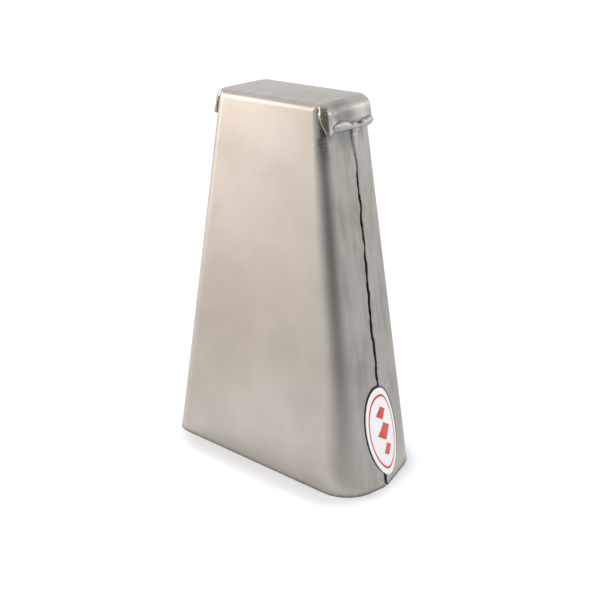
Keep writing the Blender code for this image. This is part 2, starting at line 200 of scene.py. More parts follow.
def makeSatinSteel():
    look = steelLook
    mat, add, noises = newMaterial("satinSheetSteel", 1.0, look["patterns"])
    painted = {}
    for name in ("heatTint", "millScaleAndShade", "sootAndPaintedShade", "earBendShade", "paintedHighlight"):
        painted[name] = add("Attribute", attribute_name=name).outputs["Fac"]
    facing = add("SeparateXYZ", add("NewGeometry").outputs["Normal"]).outputs
    sideways, frontal = [add("Math", facing[axis], operation="ABSOLUTE") for axis in "XY"]
    height = add("SeparateXYZ", add("TexCoord").outputs["Object"]).outputs["Z"]
    uneven = add("Math", noises["mottle"], noises["streak"], operation="ADD")
    tint = add("Math", painted["heatTint"], operation="MULTIPLY")    # gets its patches below
    sources = {"tone": noises["mottle"], "onSide": sideways, "marks": uneven, "onTop": height,
        "offFace": frontal, "rubMarks": noises["rub"], "smear": noises["rub"], "patch": noises["streak"],
        "straw": tint, "bruise": tint, "patchy": noises["pits"], "rough": noises["grain"]}
    levels = {}
    for name, source in sources.items():
        levels[name] = add("MapRange", {**dict(zip(rangeEnds, look["levels"][name])), "Value": source})
    mat.node_tree.links.new(levels["patch"].outputs[0], tint.inputs[1])
    # the narrow sides were only brushed, and keep drawing marks that the faces have lost
    marked = add("Math", levels["onSide"], levels["marks"], operation="MULTIPLY")
    # crown and ears were rubbed down along their bends
    onEar = add("Math", levels["onTop"], levels["offFace"], operation="MULTIPLY")
    rubbed = add("Math", onEar, levels["rubMarks"], operation="MULTIPLY")
    # rub marks, with painted shade on the front half of the right ear's bend
    rubbedAndShaded = add("Math", painted["earBendShade"], levels["smear"], rubbed, operation="MULTIPLY_ADD",
        use_clamp=True)
    crust = add("Math", noises["pits"], *look["crust"], operation="MULTIPLY_ADD")
    crustShare = add("Math", painted["millScaleAndShade"], look["crustReach"], crust, operation="MULTIPLY_ADD",
        use_clamp=True)
    crustMask = add("Math", crustShare, painted["millScaleAndShade"], operation="MULTIPLY", use_clamp=True)
    # soot, with painted shade beside the welds, under the right ear and along the mouth's edge
    sootAndShadeShare = add("Math", painted["sootAndPaintedShade"], levels["patchy"], operation="MULTIPLY")
    scaly = add("Math", noises["pits"], painted["millScaleAndShade"], operation="MULTIPLY")
    # layers of colour; straw comes before blue, as steel colours when it is heated
    colour = add("Mix", {0: levels["tone"], 6: linear(look["colour"]), 7: linear(look["tone"])},
        data_type="RGBA")
    # the second smudge layer, the burnished layer and the soot and scale layers also carry painted shade and
    # painted highlights
    for name, share in (("smudgeAndShade", marked), ("smudgeAndShade", rubbedAndShaded), ("straw", levels["straw"]),
                        ("bruise", levels["bruise"]), ("highlightTint", painted["paintedHighlight"]), ("scale", crustMask),
                        ("sootAndShade", sootAndShadeShare)):
        colour = add("Mix", {0: share, 6: colour.outputs[2], 7: linear(look[name])}, data_type="RGBA")
    rough = add("Math", crustMask, look["crustRough"], levels["rough"], operation="MULTIPLY_ADD")
    under = {}
    for name, source in (("wave", noises["wave"]), ("grain", noises["grain"]), ("scale", scaly)):
        strength, size = look["bumps"][name]
        bump = add("Bump", {"Strength": strength, "Distance": size / perMetre, "Height": source, **under})
        under = {"Normal": bump}
    return endMaterial(mat, colour, rough, bump)


# mild-steel weld metal, wire-brushed after welding: brighter than the sheet on its crests, dark in its toes,
# partly oxide and partly painted shade, with painted shade underneath and tight ripples across the run
weldLook = {
    "crest": "#c5c1bb", "toe": "#57524a", "dirt": (0.7, -0.24), "rough": (0.3, 0.7, 0.38, 0.50),
    "bump": (0.12, 0.4),    # strength, height in mm
    "patterns": {"ripple": ([2.4] * 3, 2.0, 0.5, still), "spatter": ([0.9] * 3, 4.0, 0.6, still)},
}


def makeWeldSteel():
    look = weldLook
    mat, add, noises = newMaterial("brushedWeldSteel", 1.0, look["patterns"])
    toe = add("Attribute", attribute_name="toe").outputs["Fac"]
    dirt = add("Math", noises["spatter"], *look["dirt"], operation="MULTIPLY_ADD")
    share = add("Math", toe, dirt, operation="ADD", use_clamp=True)
    colour = add("Mix", {0: share, 6: linear(look["crest"]), 7: linear(look["toe"])}, data_type="RGBA")
    rough = add("MapRange", {**dict(zip(rangeEnds, look["rough"])), "Value": noises["spatter"]})
    strength, size = look["bump"]
    bump = add("Bump", Strength=strength, Distance=size / perMetre, Height=noises["ripple"])
    return endMaterial(mat, colour, rough, bump)


# printed PVC film: a faint orange-peel gloss, with a little dirt held by the ink
vinylLook = {
    "white": ("#f6f5f3", 0.10), "black": ("#26282a", 0.12), "red": ("#d4473d", 0.10),    # colour, dirt
    "dirt": "#a39c92", "dirty": (0.45, 0.80, 0.0, 1.0), "rough": (0.0, 1.0, 0.26, 0.44), "bump": (0.15, 0.05),
    "patterns": {"peel": ([0.9] * 3, 1.0, 0.5, still), "dirt": ([9.0] * 3, 5.0, 0.6, still)},
}


def makeVinyl(name, hexColour, dirty):
    look = vinylLook
    mat, add, noises = newMaterial(name, 0.0, look["patterns"])
    tone = add("MapRange", {**dict(zip(rangeEnds, look["dirty"])), "Value": noises["dirt"]})
    base = linear(hexColour)
    worn = [between(c, g, dirty) for c, g in zip(base, linear(look["dirt"]))]
    colour = add("Mix", {0: tone, 6: base, 7: worn}, data_type="RGBA")
    rough = add("MapRange", {**dict(zip(rangeEnds, look["rough"])), "Value": noises["dirt"]})
    strength, size = look["bump"]
    bump = add("Bump", Strength=strength, Distance=size / perMetre, Height=noises["peel"])
    return endMaterial(mat, colour, rough, bump)


satinSteel = makeSatinSteel()
weldSteel = makeWeldSteel()
whiteVinyl = makeVinyl("whiteVinylFilm", *vinylLook["white"])
blackVinyl = makeVinyl("blackVinylInk", *vinylLook["black"])
redVinyl = makeVinyl("redVinylInk", *vinylLook["red"])
print("materials made")


# bell: one blank, folded over into front face, crown and rear face

bell = {
    "height": 0.2258, "mouthWidth": 0.1592, "mouthDepth": 0.0744, "crownWidth": 0.0780, "crownDepth": 0.0457,
    "mouthCorner": 0.0234, "farMouthCorner": 0.0130, "crownCorner": 0.0049, "farCrownCorner": 0.0064,
    "mouthRidge": 0.0079, "farMouthRidge": 0.0120, "crownRidge": 0.0037,
    "nearCrownRidge": 0.0017,    # the front right wing is bent less at the crown
    "mouthSeamY": -0.0074, "crownSeamY": 0.0030, "rightSeamGap": 0.0015, "leftSeamGap": 0.00012,
    "sheet": 0.0016, "crownBend": 0.0042, "slitBend": 0.0026, "trim": 0.004, "foldMargin": 0.0003,
    # cut edges: how round, from which angle, and how far below the tears they end
    "edgeRound": 0.00026, "edgeAngle": math.radians(50), "edgeMargin": 0.0004,
    "seamWander": 0.00090, "wanderMm": 8.0, "wanderFrom": 0.475, "wanderSeeds": {front: 3.0, rear: 3.012},
    "edgeSpread": 40.0,    # keeps the right seam's wander apart from the left seam's
    "faceSteps": 12, "arcSteps": 24, "slitStep": 18, "nearSlitStep": 12, "wingSteps": 12, "bendSteps": 12,
    "rows": 120, "weldDistance": 2e-6, "cutDistance": 1e-7,
}
ears = {
    "rightClearance": 0.0014, "leftClearance": 0.0004, "tipClearance": 0.00015, "bend": 0.0069,
    "innerCorner": 0.0052, "setback": 0.0038, "nearSetback": 0.0012, "farSetback": 0.0044, "drop": 0.0132,
    "cornerDrop": 0.0136, "nearCornerDrop": 0.0160, "farCornerDrop": 0.0145, "tipDrop": 0.0062,
    "cutStart": 0.48, "cutCurve": 1.6, "slitFrom": 0.0022, "slitTo": 0.0062, "tipStep": math.radians(0.5),
    "dent": 0.00028, "dentMm": 8.0, "dentFrom": (0.001, 0.004),
    "cornerSteps": 10, "cutSteps": 14, "sideSteps": 10, "rows": 14,
}
crownZ = bell["height"]
bell["wallTop"] = crownZ - max(bell["crownBend"], ears["bend"]) - bell["foldMargin"]
ears["corner"] = ears["innerCorner"] + bell["sheet"]
ears["edge"] = crownZ - ears["drop"]
sideTilt = math.atan((bell["mouthWidth"] - bell["crownWidth"]) / 2 / crownZ)


def sizesAt(z):
    share = z / crownZ
    return {"halfWidth": between(bell["mouthWidth"], bell["crownWidth"], share) / 2,
        "halfDepth": between(bell["mouthDepth"], bell["crownDepth"], share) / 2,
        "seamY": between(bell["mouthSeamY"], bell["crownSeamY"], share)}


def cornerSize(name, z, side, face):
    mouth, crown = [pick(bell, end + name, side, face) for end in ("mouth", "crown")]
    return between(mouth, crown, z / crownZ)


def quarterOutline(z, side, face):
    # from the middle of a face, round its corner, to the seam: x, v = face * y, and the outward normal
    s = sizesAt(z)
    seamV = face * s["seamY"]
    lean = math.atan2(cornerSize("Ridge", z, side, face), s["halfDepth"] - seamV)
    nx, nv = math.cos(lean), math.sin(lean)
    corner = cornerSize("Corner", z, side, face)
    centreV = s["halfDepth"] - corner
    centreX = s["halfWidth"] - (corner + nv * (centreV - seamV)) / nx
    points = [(centreX * i / bell["faceSteps"], s["halfDepth"], 0.0, 1.0) for i in range(bell["faceSteps"])]
    for i in range(bell["arcSteps"] + 1):
        turn = between(math.pi / 2, lean, i / bell["arcSteps"])
        c, n = math.cos(turn), math.sin(turn)
        points.append((centreX + corner * c, centreV + corner * n, c, n))
    startX, startV = points[-1][:2]
    gap = bell["rightSeamGap" if side == right else "leftSeamGap"]
    edge = (gap / 2 + bell["sheet"] * nv) / nx
    for i in range(1, bell["wingSteps"] + 1):
        share = i / bell["wingSteps"]
        x = between(startX, s["halfWidth"] - nv * edge, share)
        points.append((x, between(startV, seamV + nx * edge, share), nx, nv))
    return points


def fullOutline(z, face):
    # seam to seam, in the order that makes the wall face outwards
    halves = {}
    for side in (left, right):
        halves[side] = [Vector((side * x, face * v, z)) for x, v, nx, nv in quarterOutline(z, side, face)]
    whole = halves[left][:0:-1] + halves[right]
    return whole if face == front else whole[::-1]


def wingSlope(side, face, z):
    s = sizesAt(z)
    return cornerSize("Ridge", z, side, face) / (s["halfDepth"] - face * s["seamY"])


def wingX(side, y, z):
    s = sizesAt(z)
    past = y - s["seamY"]
    return s["halfWidth"] - wingSlope(side, front if past < 0 else rear, z) * abs(past)


def buildLoftTree():
    # lofts a wall from the mouth's outline to the crown's; its long edges wander with the edges that they meet
    tree, add, given = newTree("sheetWallLoft", {"Mouth Outline": "Object", "Crown Outline": "Object",
        "Columns": "Int", "Rows": "Int", "Low Share": "Float", "High Share": "Float", "Edge Wander": "Float",
        "Wander From": "Float", "Wander Scale": "Float", "Edge Spread": "Float", "Seed": "Float",
        "Sheet": "Material"})
    grid = add("GeometryNodeMeshGrid", {"Size X": 1.0, "Size Y": 1.0, "Vertices X": given["Columns"],
        "Vertices Y": given["Rows"]})
    place = add("SeparateXYZ", add("GeometryNodeInputPosition")).outputs
    across = add("Math", place["X"], 0.5, operation="ADD")
    last = add("Math", given["Columns"], 1.0, operation="SUBTRACT")
    column = add("Math", across, last, operation="MULTIPLY")
    index = add("Math", column, operation="ROUND")
    share = add("MapRange", {"From Min": -0.5, "From Max": 0.5, "To Min": given["Low Share"],
        "To Max": given["High Share"]}, clamp=False, Value=place["Y"])
    ends = []
    for end in ("Mouth Outline", "Crown Outline"):
        outline = add("GeometryNodeObjectInfo", transform_space="ORIGINAL", Object=given[end])
        ends.append(add("GeometryNodeSampleIndex", data_type="FLOAT_VECTOR", domain="POINT",
            Geometry=outline.outputs["Geometry"], Value=add("GeometryNodeInputPosition"), Index=index))
    loft = add("Mix", {0: share, 4: ends[0], 5: ends[1]}, data_type="VECTOR", clamp_factor=False)
    toEdge = add("Math", place["X"], operation="ABSOLUTE")
    weight = add("MapRange", {"From Min": given["Wander From"], "From Max": 0.5},
        interpolation_type="SMOOTHSTEP", Value=toEdge)
    sideOf = add("Math", place["X"], given["Edge Spread"], operation="MULTIPLY")
    spot = add("CombineXYZ", X=sideOf, Y=given["Seed"], Z=share)
    wave = add("TexNoise", Detail=2.0, Vector=spot, Scale=given["Wander Scale"])
    # noise hardly leaves 0.3 to 0.7
    swing = add("MapRange", {"From Min": 0.3, "From Max": 0.7, "To Min": -1.0}, clamp=False, Value=wave)
    reach = add("Math", weight, given["Edge Wander"], operation="MULTIPLY")
    shift = add("Math", swing, reach, operation="MULTIPLY")
    offset = add("CombineXYZ", Y=shift)
    moved = add("GeometryNodeSetPosition", Geometry=grid, Position=loft.outputs[1], Offset=offset)
    endTree(add, moved, given["Sheet"])
    return tree


def loftWall(tree, face):
    outlines = []
    for z in (0.0, crownZ):
        mesh = bpy.data.meshes.new("outline")
        mesh.from_pydata(fullOutline(z, face), [], [])
        outlines.append(bpy.data.objects.new("outline", mesh))
        scene.collection.objects.link(outlines[-1])
    made = plainMesh("wall", bpy.data.meshes.new("wall"), ("NODES", {"tree": tree,
        "Mouth Outline": outlines[0], "Crown Outline": outlines[1], "Columns": len(outlines[0].data.vertices),
        "Rows": bell["rows"], "Low Share": -bell["trim"] / crownZ, "High Share": bell["wallTop"] / crownZ,
        "Edge Wander": bell["seamWander"], "Wander From": bell["wanderFrom"],
        "Wander Scale": perMetre * crownZ / bell["wanderMm"], "Edge Spread": -bell["edgeSpread"] * face,
        "Seed": bell["wanderSeeds"][face], "Sheet": satinSteel}))
    for outline in outlines:
        bpy.data.objects.remove(outline)
    return made


def wallColumn(side, face, i):
    # the line up the wall at one point of its outline, by height, and its normal at the crown
    mouth, crown = [quarterOutline(z, side, face)[i] for z in (0.0, crownZ)]
    low = Vector((side * mouth[0], face * mouth[1], 0.0))
    high = Vector((side * crown[0], face * crown[1], crownZ))
    return lambda z: low.lerp(high, z / crownZ), Vector((side * crown[2], face * crown[3], 0.0))


def foldOver(wall, normal, radius):
    # from the crown's flat over a fold to where it meets its wall
    run = normal.dot(wall(0.0) - wall(crownZ)) / crownZ
    sweep = math.pi / 2 - math.atan(run)
    back = radius * math.tan(sweep / 2)
    points = []
    for i in range(bell["bendSteps"] + 1):
        turn = sweep * i / bell["bendSteps"]
        z = crownZ - radius + radius * math.cos(turn)
        points.append(wall(z) - normal * (run * (crownZ - z) + back - radius * math.sin(turn)))
    return points


def earHalfWidth(side, z):
    clearance = ears["rightClearance" if side == right else "leftClearance"]
    return sizesAt(z)["halfWidth"] + (clearance + bell["sheet"]) / math.cos(sideTilt)


def earHalfDepth(side, face, z):
    return sizesAt(z)["halfDepth"] - pick(ears, "setback", side, face) + bell["sheet"]


def earTurn(side, face, v, z):
    past = v - (earHalfDepth(side, face, z) - ears["corner"])
    return math.asin(min(1.0, max(0.0, past) / ears["corner"]))


def earX(side, face, v, z):
    return earHalfWidth(side, z) - ears["corner"] * (1 - math.cos(earTurn(side, face, v, z)))


def findTipTurn(side, face):
    # an ear wraps round its corners until its inner face comes up to the wing's fold
    fold = [(x, v) for x, v, nx, nv in quarterOutline(crownZ, side, face)[bell["faceSteps"]:]]
    turn = math.pi / 2
    while turn > 0:
        x = earHalfWidth(side, crownZ) - ears["corner"] + ears["innerCorner"] * math.cos(turn)
        v = earHalfDepth(side, face, crownZ) - ears["corner"] + ears["innerCorner"] * math.sin(turn)
        reach = 0.0
        for (ax, av), (bx, bv) in zip(fold, fold[1:]):
            if bv <= v <= av:
                reach = max(reach, between(bx, ax, (v - bv) / (av - bv)))
        if x - reach >= ears["tipClearance"]:
            return turn
        turn -= ears["tipStep"]
    return turn


tipTurn = {(side, face): findTipTurn(side, face) for side in (left, right) for face in (front, rear)}


def earDrop(side, face, turn):
    tip = tipTurn[side, face]
    start = ears["cutStart"] * tip
    corner = pick(ears, "cornerDrop", side, face)
    if turn < start:
        return between(ears["drop"], corner, math.sin(math.pi / 2 * turn / start) ** 2)
    cut = min(1.0, (turn - start) / (tip - start))
    return between(corner, ears["tipDrop"], cut ** ears["cutCurve"])


def addGrid(bm, columns, flip):
    for a, b in zip(columns, columns[1:]):
        for row in range(len(a) - 1):
            corners = [a[row], b[row], b[row + 1], a[row + 1]]
            bm.faces.new(corners[::-1] if flip else corners)


def addCrownFolds(bm, face):
    flat = bell["faceSteps"]
    slit = {side: pick(bell, "slitStep", side, face) for side in (left, right)}
    columns = []
    for k in range(-flat - slit[left], flat + slit[right] + 1):
        side, i = (left if k < 0 else right), abs(k)
        wall, normal = wallColumn(side, face, i)
        tight = max(0.0, (i - flat) / slit[side])
        points = [wall(bell["wallTop"])]
        points += foldOver(wall, normal, between(bell["crownBend"], bell["slitBend"], tight))[::-1]
        columns.append([bm.verts.new(p) for p in points])
    addGrid(bm, columns, face == rear)
    return [column[-1] for column in columns]


def slitColumn(side, face, heights):
    # the edge of the crown's fold that an ear is torn from, at the heights of a column of the ear
    wall, normal = wallColumn(side, face, bell["faceSteps"] + pick(bell, "slitStep", side, face))
    return foldOver(wall, normal, bell["slitBend"]) + [wall(z) for z in heights[bell["bendSteps"] + 1:]]


def earStations(side, face):
    # face, turn round the corner and share of the way to the middle, from the torn end inwards
    tip, steps = tipTurn[side, face], ears["sideSteps"]
    start = ears["cutStart"] * tip
    turns = [start * i / ears["cornerSteps"] for i in range(ears["cornerSteps"] + 1)]
    for i in range(1, ears["cutSteps"] + 1):
        turns.append(between(start, tip, math.sin(math.pi / 2 * i / ears["cutSteps"])))
    return [(face, turn, 0.0) for turn in turns[::-1]] + [(face, 0.0, i / steps) for i in range(1, steps + 1)]


def addEar(bm, side):
    columns = []
    for face, turn, inward in earStations(side, front) + earStations(side, rear)[-2::-1]:

        def wall(z):
            middle = earHalfDepth(side, face, z) - ears["corner"]
            x = earHalfWidth(side, z) - ears["corner"] * (1 - math.cos(turn))
            return Vector((side * x, face * (middle * (1 - inward) + ears["corner"] * math.sin(turn)), z))

        normal = Vector((side * math.cos(turn), face * math.sin(turn), 0.0))
        cut = max(0.0, (turn / tipTurn[side, face] - ears["cutStart"]) / (1 - ears["cutStart"]))
        points = foldOver(wall, normal, between(ears["bend"], bell["slitBend"], cut))
        top, bottom = points[-1].z, crownZ - earDrop(side, face, turn)
        points += [wall(between(top, bottom, i / ears["rows"])) for i in range(1, ears["rows"] + 1)]
        if cut > 0:    # the tear stops short of the crown
            fold = slitColumn(side, face, [p.z for p in points])
            for i, p in enumerate(points):
                closed = 1 - smoothStep(ears["slitFrom"], ears["slitTo"], crownZ - p.z)
                points[i] = p.lerp(fold[i], closed * cut ** 2)
        for i, p in enumerate(points):    # hammer dents, none on the crown or at the torn end
            dent = ears["dent"] * smoothStep(*ears["dentFrom"], crownZ - p.z) * (1 - cut)
            points[i] = p + normal * (dent * noise.noise(p * perMetre / ears["dentMm"]))
        columns.append([bm.verts.new(p) for p in points])
    addGrid(bm, columns, side == right)
    return [column[0] for column in columns]


def buildShell():
    tree = buildLoftTree()
    bm = bmesh.new()
    for face in (front, rear):
        bm.from_mesh(loftWall(tree, face))
    frontEnds = addCrownFolds(bm, front)
    rearEnds = addCrownFolds(bm, rear)
    rightRim, leftRim = addEar(bm, right), addEar(bm, left)
    bm.faces.new(frontEnds + rightRim + rearEnds[::-1] + leftRim[::-1])
    bmesh.ops.remove_doubles(bm, verts=bm.verts[:], dist=bell["weldDistance"])
    sheet = plainMesh("sheet", meshFromBm(bm, "skin"), ("SOLIDIFY", {"thickness": bell["sheet"],
        "offset": -1.0, "use_quality_normals": True}))
    # mouth ground flat, then every cut edge broken, apart from the ends of the tears
    bm = bmesh.new()
    bm.from_mesh(sheet)
    bmesh.ops.bisect_plane(bm, geom=bm.verts[:] + bm.edges[:] + bm.faces[:], dist=bell["cutDistance"],
        plane_co=(0, 0, 0), plane_no=(0, 0, 1), clear_inner=True)
    rim = [e for e in bm.edges if e.is_boundary]
    for face in bmesh.ops.holes_fill(bm, edges=rim, sides=0)["faces"]:
        face.normal_update()
        if face.normal.z > 0:
            face.normal_flip()
    belowFold = crownZ - max(bell["crownBend"], ears["slitTo"]) - bell["edgeMargin"]
    sharp = [e for e in bm.edges if e.is_manifold and e.calc_face_angle() > bell["edgeAngle"]
             and max(v.co.z for v in e.verts) < belowFold]
    bmesh.ops.bevel(bm, geom=sharp, offset=bell["edgeRound"], offset_type="OFFSET", segments=2, profile=0.5,
        affect="EDGES", clamp_overlap=False)
    for face in bm.faces:
        face.smooth = True
        face.material_index = 0
    sheet = meshFromBm(bm, "sheet")
    made = plainMesh("shell", sheet, ("WEIGHTED_NORMAL", {"weight": 50, "keep_sharp": False}))
    made.materials.clear()
    made.materials.append(satinSteel)
    return made


# wear, painted shade and painted highlights: amounts, lengths in metres, and ranges over which something comes
# in, or comes in and goes again

wearAndPaintedLight = {
    # rim: painted shade along the mouth's bottom edge, in the scale and soot colours
    "rimHeight": 0.0020, "rimShadeAsScale": 0.85, "rimShadeAsSoot": 0.5, "buttReach": 0.003, "buttFacing": (0.4, 0.7),
    "buttSoot": 0.6, "skin": 1.5 * bell["sheet"],
    "heatedLength": 0.05, "heatBelow": 0.011, "heatAbove": 0.003, "heatHalfWidth": 0.010, "heatFade": 0.005,
    # soot beside the welds, with painted shade beside them that grows where the run stands out further
    "sootAndShade": 0.55, "sootAndShadeReach": 0.0011, "shadeStand": (0.0006, 0.0022), "earMargin": 0.001, "earSkin": 0.0001,
    # scale on the torn ends of the ears, apart from their very edges
    "rightEarScale": 1.0, "leftEarScale": 0.10, "tornTurn": (0.33, 0.47), "tornDrop": (-0.0002, 0.0024),
    "bareEdge": 0.0013, "bareFade": (-0.0006, 0.0008), "bareTip": (-0.02, 0.10),
    # painted shade in the corner under the right ear
    "dirt": 0.64, "shadeStart": 0.002, "shadeReach": 0.022, "darkeningFade": (0.25, 1.0),
    "foldFacingX": (0.10, 0.55), "foldFacingY": (0.10, 0.45),
    "closeBelow": (-0.001, 0.0005, 0.001, 0.005), "closeFacing": (0.4, 0.8), "closeFrom": (0.012, 0.017),
    # painted shade on the front half of the right ear's bend, a darker reflection
    "bendShadeBand": (-0.004, 0.006, 0.012, 0.020), "bendShadeHeight": 0.004, "bendShadeFrom": (0.028, 0.040),
    "bendShadeFacing": (-0.1, 0.5),
    # painted highlights on the ear's rims, the one beside the torn end starting further back lower down
    "paintedHighlight": 0.60, "ridgeStart": (0.0010, -0.0040), "ridgeWidens": (0.006, 0.013),
    "ridgeSoft": (-0.0010, 0.0010), "ridgeTurn": (0.38, 0.46), "ridgeDrop": (0.003, 0.008),
    "ridgeFrom": (0.0, 0.004), "endHighlight": 0.28, "endBand": (0.0, 0.007, 0.011, 0.016),
    "endDrop": (0.003, 0.006),
}


def paintVert(vert, stops):
    # heat tint, scale and soot with painted shade among them, painted shade on the ear's bend, and painted
    # highlights of one point
    x, y, z = vert.co
    side, face = (right if x > 0 else left), (rear if y > 0 else front)
    edge, facing = ears["edge"], vert.normal
    heat = scale = sootAndShade = bendShade = paintedHighlight = 0.0
    outside = abs(x) > wingX(side, y, z) - wearAndPaintedLight["skin"]
    if outside and z > edge - wearAndPaintedLight["heatedLength"]:
        below, above = max(0.0, edge - z) / wearAndPaintedLight["heatBelow"], max(0.0, z - edge) / wearAndPaintedLight["heatAbove"]
        along = max(0.0, abs(y - sizesAt(edge)["seamY"]) - wearAndPaintedLight["heatHalfWidth"]) / wearAndPaintedLight["heatFade"]
        heat = math.exp(-(below * below + above * above + along * along))
        gap, stand = min(((p[0] - vert.co).length - p[2][1], p[2][2]) for p in stops)
        # soot beside the welds, with painted shade that grows where the run stands out further
        sootAndShade = wearAndPaintedLight["sootAndShade"] * smoothStep(*wearAndPaintedLight["shadeStand"], stand)
        sootAndShade *= 1 - smoothStep(0.0, wearAndPaintedLight["sootAndShadeReach"], gap)
    out = abs(x) - earHalfWidth(side, z) + ears["corner"]
    deep = abs(y) - earHalfDepth(side, face, z) + ears["corner"]
    past = crownZ - ears["nearCornerDrop"] - z    # below the ears' longest corner
    onEar = past < wearAndPaintedLight["earMargin"] and math.hypot(out, deep) > ears["innerCorner"] - wearAndPaintedLight["earSkin"]
    if (side, face) == (right, front) and not onEar:    # painted shade in the fold and corner under the ear
        inFold = smoothStep(*wearAndPaintedLight["foldFacingX"], facing.x) * smoothStep(*wearAndPaintedLight["foldFacingY"], -facing.y)
        under = 1 - smoothStep(*wearAndPaintedLight["darkeningFade"], (past + wearAndPaintedLight["shadeStart"]) / wearAndPaintedLight["shadeReach"])
        close = hump(*wearAndPaintedLight["closeBelow"], past) * smoothStep(*wearAndPaintedLight["closeFacing"], facing.x)
        sootAndShade = max(sootAndShade, wearAndPaintedLight["dirt"] * max(inFold * under, close * smoothStep(*wearAndPaintedLight["closeFrom"], abs(y))))
    if side == right:    # painted shade on the front half of the ear's bend, a darker reflection
        smear = hump(*wearAndPaintedLight["bendShadeBand"], -y) * smoothStep(edge, edge + wearAndPaintedLight["bendShadeHeight"], z)
        smear *= smoothStep(*wearAndPaintedLight["bendShadeFrom"], x)
        bendShade = smear * smoothStep(*wearAndPaintedLight["bendShadeFacing"], facing.x + facing.z)
    if onEar:
        tip, turn, drop = tipTurn[side, face], math.atan2(max(0.0, deep), out), crownZ - z
        bare = smoothStep(*wearAndPaintedLight["bareFade"], earDrop(side, face, min(turn, tip)) - drop - wearAndPaintedLight["bareEdge"])
        bare *= 1 - smoothStep(*wearAndPaintedLight["bareTip"], turn + wearAndPaintedLight["bareEdge"] / ears["corner"] - tip)
        scale = smoothStep(*wearAndPaintedLight["tornTurn"], turn / tip) * smoothStep(*wearAndPaintedLight["tornDrop"], drop) * bare
        scale *= wearAndPaintedLight["rightEarScale" if side == right else "leftEarScale"]
        if side == right:    # painted highlights beside the torn end and at the far end
            arc = deep if deep < 0 else turn * ears["corner"]
            starts = between(*wearAndPaintedLight["ridgeStart"], smoothStep(*wearAndPaintedLight["ridgeWidens"], drop))
            ridge = smoothStep(*wearAndPaintedLight["ridgeSoft"], arc - starts)
            ridge *= 1 - smoothStep(*wearAndPaintedLight["ridgeTurn"], turn / tip)
            ridge *= smoothStep(*wearAndPaintedLight["ridgeDrop"], drop) * smoothStep(*wearAndPaintedLight["ridgeFrom"], -y)
            end = hump(*wearAndPaintedLight["endBand"], y) * smoothStep(*wearAndPaintedLight["endDrop"], drop)
            paintedHighlight = max(wearAndPaintedLight["paintedHighlight"] * ridge, wearAndPaintedLight["endHighlight"] * end)
    # painted shade along the mouth's bottom edge
    rim = wearAndPaintedLight["rimShadeAsScale"] * (1 - smoothStep(wearAndPaintedLight["rimHeight"] / 2, wearAndPaintedLight["rimHeight"], z))
    sheared = abs(y - sizesAt(z)["seamY"]) < wearAndPaintedLight["buttReach"] and z < edge
    butt = smoothStep(*wearAndPaintedLight["buttFacing"], abs(facing.y)) if sheared else 0.0
    sootAndShade = max(sootAndShade, wearAndPaintedLight["buttSoot"] * butt, wearAndPaintedLight["rimShadeAsSoot"] * rim)
    return heat, max(scale, rim, butt), sootAndShade, bendShade, paintedHighlight


def paintSheet(mesh, paths):
    # heat and soot round the welds with painted shade beside them, scale on torn and sheared edges, painted
    # shade under the right ear, on its bend and along the mouth's edge, and painted highlights on the ear's
    # rims
    stops = [stop for path in paths for stop in path]
    paint = zip(*[paintVert(vert, stops) for vert in mesh.vertices])
    for name, values in zip(("heatTint", "millScaleAndShade", "sootAndPaintedShade", "earBendShade", "paintedHighlight"), paint):
        mesh.attributes.new(name, "FLOAT", "POINT").data.foreach_set("value", values)


# welds: lumps laid along a path and melted into one run

